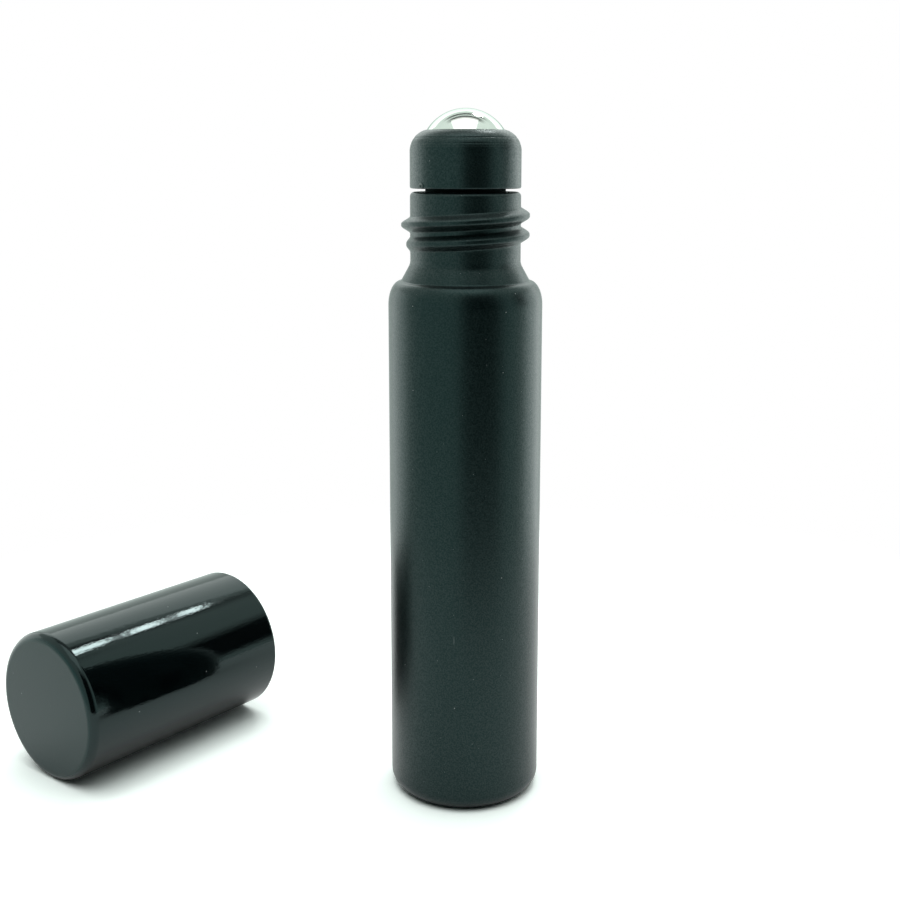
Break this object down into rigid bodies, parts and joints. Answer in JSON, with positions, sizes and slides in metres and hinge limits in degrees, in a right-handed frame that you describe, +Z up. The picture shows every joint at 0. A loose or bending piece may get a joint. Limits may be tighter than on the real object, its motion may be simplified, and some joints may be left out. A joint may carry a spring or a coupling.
{
  "type": "roll on bottle",
  "caption": "Slim round glass roll-on bottle with a threaded neck, a ball in a press-in housing, and its threaded cap lying beside it.",
  "frame": {"origin": "centre of the bottle's foot, on the surface it stands on", "axes": "+Z up along the bottle's axis; +Y along the lying cap's axis, towards its open rim; the cap lies on the -X side"},
  "size_m": [0.0554, 0.0392, 0.0774],
  "materials": {
    "coated_glass": "matte black coat on glass",
    "housing_plastic": "satin",
    "ball_steel": "polished stainless steel",
    "cap_gloss": "high gloss",
    "insert_plastic": "satin"
  },
  "bodies": {
    "bottle": {"glass_bottle": "coated_glass", "roller_housing": "housing_plastic"},
    "ball": {"roller_ball": "ball_steel"},
    "cap": {"cap_shell": "cap_gloss", "cap_insert": "insert_plastic"}
  },
  "joints": [
    {"name": "ball_roll", "type": "hinge", "parent": "bottle", "child": "ball", "pos_m": [0, 0, 0.07244], "axis": [1, 0, 0], "continuous": true},
    {"name": "cap_lift", "type": "slide", "parent": "bottle", "child": "cap", "axis": [0, 0, 1], "range_m": [0, 0.08]}
  ]
}
